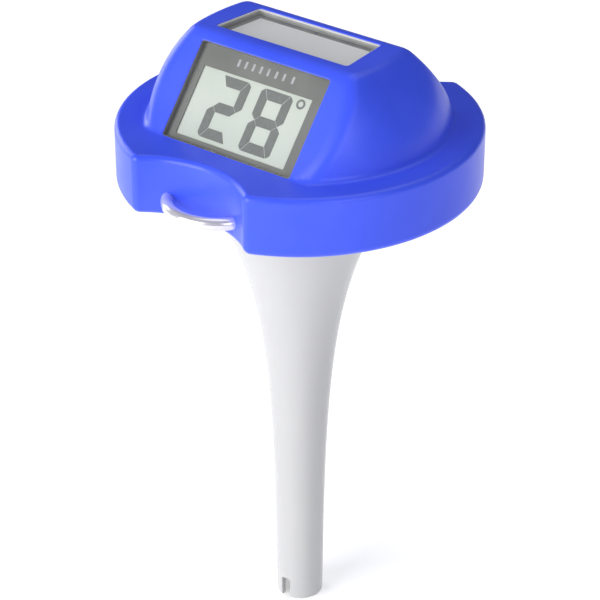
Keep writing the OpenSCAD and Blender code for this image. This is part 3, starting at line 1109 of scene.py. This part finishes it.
VIEW = [(x - 0.8, y) for x, y in rect(43.8, 2.5, 23.5)]
bezel = Build()
bezel_out, bezel_dir = polygon_ring(WINDOW, WINDOW_CORNER, 0, 6, 40)
rings = []
for a in (0, 30, 60, 90):
    t = radians(a)
    ring, d = polygon_ring(VIEW, 0.35, 0.1 * (1 - sin(t)), 6, 40)
    rings.append(
        (
            FRONT.at(ring, MASK_TOP - 0.1 * (1 - cos(t))),
            cos(t) * FRONT.z - sin(t) * FRONT.way(d),
        )
    )
flat = np.tile(FRONT.z, (len(bezel_out), 1))
ring, d = polygon_ring(VIEW, 0.35, 0, 6, 40)
edge = FRONT.way(bezel_dir)
bezel.strip(FRONT.at(bezel_out, MASK_TOP), rings[0][0], flat, flat)
for (p, n), (q, o) in zip(rings, rings[1:]):
    bezel.strip(p, q, n, o)
under_in, under_out = FRONT.at(ring, MASK_UNDER), FRONT.at(bezel_out, MASK_UNDER)
bezel.strip(rings[-1][0], under_in, -FRONT.way(d), -FRONT.way(d))
bezel.strip(under_in, under_out, -flat, -flat)
bezel.strip(under_out, FRONT.at(bezel_out, MASK_TOP), edge, edge)
liner(bezel, FRONT, rect(51.8, 0.2, 33.2), 0.9, -0.34, MASK_TOP)
bezel.finish("display_mask", "float", "bezel_grey", BEZEL, ["display_bezel"])

ticks = Build()
for x in (-10.3, -7.4, -4.4, -1.35, 1.65, 4.85, 7.9, 11.5):
    low, wide, tall = 28.8, 0.85, 2.4
    shape = [
        (x - wide / 2, low),
        (x + wide / 2, low),
        (x + wide / 2, low + tall),
        (x - wide / 2, low + tall),
    ]
    slab(ticks, FRONT, shape, 0.15, TICK_TOP, MASK_TOP, 0.01, 3, 2)
ticks.finish("display_ticks", "float", "bezel_grey", TICK)

panel = Build()
slab(panel, FRONT, rect(46, 1.9, 29), 0.3, GLASS_TOP, -4.2, 0.12)
panel.finish("lcd_cell", "float", "lcd_glass", LCD, ["lcd_panel"])


def digit(b, x, lit):
    """Seven bars between x and x + 12.6, from 4.0 to 25.1 up the display."""
    w, low, high, t, c, g = 12.6, 4.0, 25.1, 3.4, 1.2, 0.08
    mid = (low + high) / 2
    bars = {
        "top": [
            (c + g * 2, high),
            (w - c - g * 2, high),
            (w - t - g, high - t),
            (t + g, high - t),
        ],
        "bottom": [
            (t + g, low + t),
            (w - t - g, low + t),
            (w - c - g * 2, low),
            (c + g * 2, low),
        ],
        "middle": [
            (t + g, mid + t / 2),
            (w - t - g, mid + t / 2),
            (w - t / 2 - 2 * g, mid),
            (w - t - g, mid - t / 2),
            (t + g, mid - t / 2),
            (t / 2 + 2 * g, mid),
        ],
        "upper_left": [
            (c / 2, high - c / 2),
            (c, high - g),
            (t - g, high - t - g),
            (t - g, mid + t / 2),
            (t / 2, mid + g),
            (0, mid + t / 2 - g),
            (0, high - c),
        ],
        "upper_right": [
            (w - c / 2, high - c / 2),
            (w, high - c),
            (w, mid + t / 2 - g),
            (w - t / 2, mid + g),
            (w - t + g, mid + t / 2),
            (w - t + g, high - t - g),
            (w - c, high - g),
        ],
        "lower_left": [
            (t / 2, mid - g),
            (t - g, mid - t / 2),
            (t - g, low + t + g),
            (c, low + g),
            (c / 2, low + c / 2),
            (0, low + c),
            (0, mid - t / 2 + g),
        ],
        "lower_right": [
            (w - t / 2, mid - g),
            (w, mid - t / 2 + g),
            (w, low + c),
            (w - c / 2, low + c / 2),
            (w - c, low + g),
            (w - t + g, low + t + g),
            (w - t + g, mid - t / 2),
        ],
    }
    for name in lit:
        pts = [(x + px, py) for px, py in bars[name]]
        area = sum(
            p[0] * q[1] - q[0] * p[1] for p, q in zip(pts, pts[1:] + pts[:1])
        )
        if area < 0:
            pts = pts[::-1]
        slab(b, FRONT, pts, 0.05, DIGIT_TOP, GLASS_TOP, 0.01, 2, 2)


digits = Build()
digit(digits, -15.2, ["top", "upper_right", "middle", "lower_left", "bottom"])
digit(
    digits,
    1.6,
    [
        "top",
        "upper_left",
        "upper_right",
        "middle",
        "lower_left",
        "lower_right",
        "bottom",
    ],
)
steps = np.linspace(0, 2 * pi, 48, endpoint=False)
ways = np.stack([np.cos(steps), np.sin(steps)], 1)
middle = np.array([17.4, 23.7])
DEGREE_RADII = 1.65, 0.92
out_low, in_low = (FRONT.at(middle + r * ways, GLASS_TOP) for r in DEGREE_RADII)
out_top, in_top = (FRONT.at(middle + r * ways, DIGIT_TOP) for r in DEGREE_RADII)
up = np.tile(FRONT.z, (48, 1))
digits.strip(out_top, in_top, up, up)
digits.strip(out_low, out_top, FRONT.way(ways), FRONT.way(ways))
digits.strip(in_low, in_top, -FRONT.way(ways), -FRONT.way(ways))
digits.strip(out_low, in_low, -up, -up)
digits.finish("lcd_digits", "float", "lcd_glass", SEGMENT)

# ---------------------------------------------------------------- solar window

pane = Build()
slab(pane, ROOF, solar_outline(0.15), 0.95, -0.9, -2.4, 0.3)
pane.finish("solar_pane", "float", "clear_window", CLEAR, ["solar_window"])

# a light grey ring just inside the rim of the solar window: a painted highlight, standing in for
# the glint along the window's lip
lip = Build()
liner(lip, ROOF, solar_outline(0), 1.1, -0.34, -0.86, 0.38)
lip.finish("solar_lip", "float", "frame_plastic", FRAME_PLASTIC)

edging = Build()
liner(edging, ROOF, solar_outline(0), 1.1, -0.88, -2.38)
liner(edging, ROOF, solar_outline(2.02), 0.6, -2.72, -3.3)
edging.finish("solar_edging", "float", "seal_rubber", EDGING)

cell = Build()
slab(cell, ROOF, solar_outline(2.3), 0.5, -2.42, -3.3, 0.12)
cell.finish("solar_cell", "float", "solar_cell", CELL, ["solar_panel"])

# ---------------------------------------------------------------- unit button


def button():
    b = Build()
    low, r = -13.5, 4.6
    profile = [
        (0, -10.5, 0, 1),
        (r, -10.5, 0, 1),
        (r, -10.5, 1, 0),
        (r, low + 0.4, 1, 0),
    ]
    profile += arc(r - 0.4, low + 0.4, 0.4, 0, -90, 5)
    profile += [
        (3.5, low, 0, -1),
        (3.2, low + 0.15, -0.45, -0.9),
        (2.2, low + 0.3, -0.15, -1),
        (0, low + 0.36, 0, -1),
    ]
    lathe(b, profile, (43, 0), 64)
    lathe(
        b,
        [
            (0, -7.1, 0, 1),
            (2.0, -7.1, 0, 1),
            (2.2, -7.3, 1, 0),
            (2.2, -10.6, 1, 0),
            (2.2, -10.6, 0, -1),
            (0, -10.6, 0, -1),
        ],
        (43, 0),
        48,
    )
    return b


button().finish("unit_key", "button", "button_grey", BUTTON_GREY, ["unit_button"])

# ---------------------------------------------------------------- softened CAD edges

for name, width in (
    ("lower_cover", 0.25),
    ("cover_screws", 0.12),
    ("boot_retainer", 0.15),
):
    bevel = nodes[name].modifiers.new("soft_edges", "BEVEL")
    bevel.width = width * MM
    bevel.segments = 2
    bevel.limit_method = "ANGLE"
    bevel.angle_limit = radians(50)

# ---------------------------------------------------------------- floor, lights

floor_mesh = bpy.data.meshes.new("floor")
floor_half, floor_z = 6, STEM_END * MM
floor_mesh.from_pydata(
    [
        (sx * floor_half, sy * floor_half, floor_z)
        for sx, sy in ((-1, -1), (1, -1), (1, 1), (-1, 1))
    ],
    [],
    [(0, 1, 2, 3)],
)
floor = bpy.data.objects.new("floor", floor_mesh)
scene.collection.objects.link(floor)
paper = finish_for(
    "floor_paper", (0.93, 0.93, 0.93), (0.95, 0.95, 0.95), (0.7, 0.85), tone_scale=4
)
glow = paper.node_tree.nodes["Principled BSDF"].inputs
glow["Emission Color"].default_value = (1, 1, 1, 1)
glow["Emission Strength"].default_value = 0.4
floor_mesh.materials.append(paper)

world = bpy.data.worlds.new("studio")
scene.world = world
world.use_nodes = True
sky = world.node_tree.nodes["Background"]
sky.inputs["Color"].default_value = (0.88, 0.90, 1, 1)
sky.inputs["Strength"].default_value = 0.12


def softbox(name, azimuth, elevation, distance, size, share):
    """A square lamp aimed at the float. Azimuth 0 is in front, and 90 to the right. share is how
    bright it makes a white surface that faces it there."""
    data = bpy.data.lights.new(name, "AREA")
    data.shape = "SQUARE"
    data.size = size
    data.energy = share * pi * pi * distance**2
    o = bpy.data.objects.new(name, data)
    scene.collection.objects.link(o)
    a, e = radians(azimuth), radians(elevation)
    way = Vector((sin(a) * cos(e), -cos(a) * cos(e), sin(e)))
    o.location = way * distance
    o.rotation_euler = (-way).to_track_quat("-Z", "Y").to_euler()


softbox("key", -17, 14, 2.6, 2.0, 1.16)
softbox("top", 180, 72, 2.6, 2.4, 0.33)
softbox("fill", 66, 24, 2.6, 1.5, 0.24)
softbox("left", -98, 14, 2.6, 1.5, 0.35)

scene.view_settings.view_transform = "Standard"
